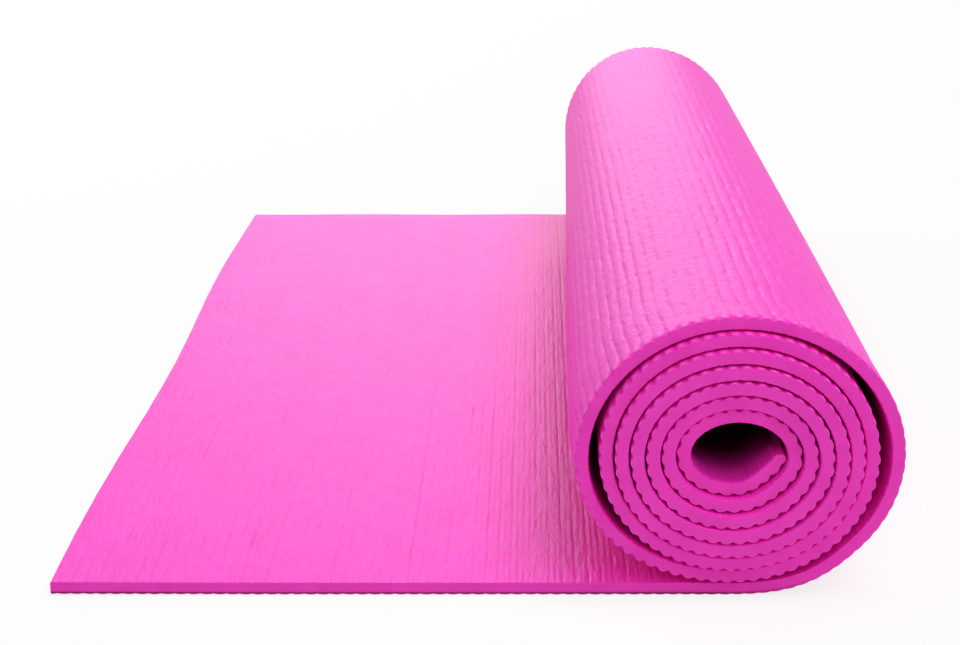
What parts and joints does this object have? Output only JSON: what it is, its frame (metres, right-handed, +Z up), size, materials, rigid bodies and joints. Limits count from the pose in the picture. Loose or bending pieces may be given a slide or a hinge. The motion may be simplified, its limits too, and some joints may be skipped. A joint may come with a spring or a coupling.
{
  "type": "yoga mat",
  "caption": "Ribbed foam exercise mat on a woven core, wound into a roll with its free end laid flat and able to wind on.",
  "frame": {"origin": "on the floor, under the middle of the mat's bounding box", "axes": "+Y across the mat, along the roll's axis; +X from the laid part towards the roll; +Z up"},
  "size_m": [0.3136, 0.61, 0.1076],
  "materials": {
    "grip_foam": "matte closed-cell PVC foam, moulded with scalloped ribs",
    "scrim": "open woven polyester net",
    "face_foam": "matte closed-cell PVC foam, finely ribbed"
  },
  "bodies": {
    "roll": {"roll_grip_foam": "grip_foam", "roll_scrim": "scrim", "roll_face_foam": "face_foam"},
    "laid_1": {"laid_1_grip_foam": "grip_foam", "laid_1_scrim": "scrim", "laid_1_face_foam": "face_foam"},
    "laid_2": {"laid_2_grip_foam": "grip_foam", "laid_2_scrim": "scrim", "laid_2_face_foam": "face_foam"},
    "laid_3": {"laid_3_grip_foam": "grip_foam", "laid_3_scrim": "scrim", "laid_3_face_foam": "face_foam"},
    "laid_4": {"laid_4_grip_foam": "grip_foam", "laid_4_scrim": "scrim", "laid_4_face_foam": "face_foam"},
    "laid_5": {"laid_5_grip_foam": "grip_foam", "laid_5_scrim": "scrim", "laid_5_face_foam": "face_foam"},
    "laid_6": {"laid_6_grip_foam": "grip_foam", "laid_6_scrim": "scrim", "laid_6_face_foam": "face_foam"},
    "laid_7": {"laid_7_grip_foam": "grip_foam", "laid_7_scrim": "scrim", "laid_7_face_foam": "face_foam"},
    "free_end": {"free_end_grip_foam": "grip_foam", "free_end_scrim": "scrim", "free_end_face_foam": "face_foam"}
  },
  "joints": [
    {"name": "bend_1", "type": "hinge", "parent": "roll", "child": "laid_1", "pos_m": [0.07131, 0, 0.0049], "axis": [0, 1, 0], "range_deg": [0, 30], "stiffness_Nm_per_rad": 0.1},
    {"name": "bend_2", "type": "hinge", "parent": "laid_1", "child": "laid_2", "pos_m": [0.04251, 0, 0.0049], "axis": [0, 1, 0], "range_deg": [0, 30], "stiffness_Nm_per_rad": 0.1},
    {"name": "bend_3", "type": "hinge", "parent": "laid_2", "child": "laid_3", "pos_m": [0.01851, 0, 0.0049], "axis": [0, 1, 0], "range_deg": [0, 30], "stiffness_Nm_per_rad": 0.1},
    {"name": "bend_4", "type": "hinge", "parent": "laid_3", "child": "laid_4", "pos_m": [-0.01029, 0, 0.0049], "axis": [0, 1, 0], "range_deg": [0, 30], "stiffness_Nm_per_rad": 0.1},
    {"name": "bend_5", "type": "hinge", "parent": "laid_4", "child": "laid_5", "pos_m": [-0.03909, 0, 0.0049], "axis": [0, 1, 0], "range_deg": [0, 30], "stiffness_Nm_per_rad": 0.1},
    {"name": "bend_6", "type": "hinge", "parent": "laid_5", "child": "laid_6", "pos_m": [-0.07269, 0, 0.0049], "axis": [0, 1, 0], "range_deg": [0, 30], "stiffness_Nm_per_rad": 0.1},
    {"name": "bend_7", "type": "hinge", "parent": "laid_6", "child": "laid_7", "pos_m": [-0.10629, 0, 0.0049], "axis": [0, 1, 0], "range_deg": [0, 30], "stiffness_Nm_per_rad": 0.1},
    {"name": "bend_8", "type": "hinge", "parent": "laid_7", "child": "free_end", "pos_m": [-0.13989, 0, 0.0049], "axis": [0, 1, 0], "range_deg": [0, 30], "stiffness_Nm_per_rad": 0.1}
  ]
}
